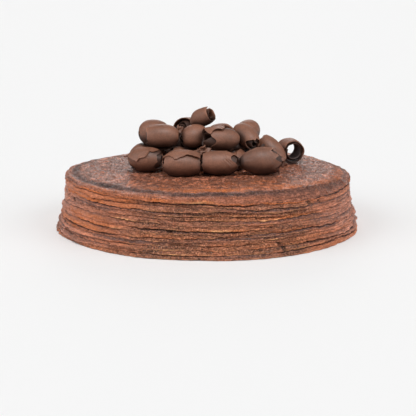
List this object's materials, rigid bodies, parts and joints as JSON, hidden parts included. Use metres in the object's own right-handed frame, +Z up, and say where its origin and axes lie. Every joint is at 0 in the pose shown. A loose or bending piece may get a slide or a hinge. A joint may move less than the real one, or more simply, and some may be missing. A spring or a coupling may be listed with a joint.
{
  "type": "crepe cake",
  "caption": "Uncut round chocolate crepe cake: thin crepes stacked with draped, shingled margins, and a heap of rolled chocolate curls on top.",
  "frame": {"origin": "middle of the flat underside of the lowest crepe, where the cake rests", "axes": "+Z up through the middle of the cake; -Y towards the front, the side that the low row of four curls faces; +X to the right, where the open ring curl lies"},
  "size_m": [0.2408, 0.2405, 0.0917],
  "materials": {
    "crepe_top": "matte, slightly oily baked crepe, reddish brown with darker mottling",
    "crepe": "matte baked crepe edge, reddish brown with lighter orange lips and dark grooves",
    "chocolate": "satin dark chocolate"
  },
  "bodies": {
    "root": {"crepe_01": "crepe_top", "crepe_02": "crepe", "crepe_03": "crepe", "crepe_04": "crepe", "crepe_05": "crepe", "crepe_06": "crepe", "crepe_07": "crepe", "crepe_08": "crepe", "crepe_09": "crepe", "crepe_10": "crepe", "crepe_11": "crepe", "crepe_12": "crepe", "crepe_13": "crepe", "crepe_14": "crepe", "curl_front_a": "chocolate", "curl_front_b": "chocolate", "curl_front_c": "chocolate", "curl_front_d": "chocolate", "curl_ring": "chocolate", "curl_left_low": "chocolate", "curl_low_a": "chocolate", "curl_low_b": "chocolate", "curl_low_c": "chocolate", "curl_low_d": "chocolate", "curl_low_e": "chocolate", "curl_right": "chocolate", "curl_left_top": "chocolate", "curl_mid_a": "chocolate", "curl_mid_b": "chocolate", "curl_mid_c": "chocolate", "curl_mid_d": "chocolate", "curl_back_top_a": "chocolate", "curl_back_top_b": "chocolate", "curl_back_top_c": "chocolate", "curl_peak": "chocolate", "curl_rear_a": "chocolate", "curl_rear_b": "chocolate", "curl_rear_c": "chocolate", "curl_rear_d": "chocolate"}
  },
  "joints": []
}
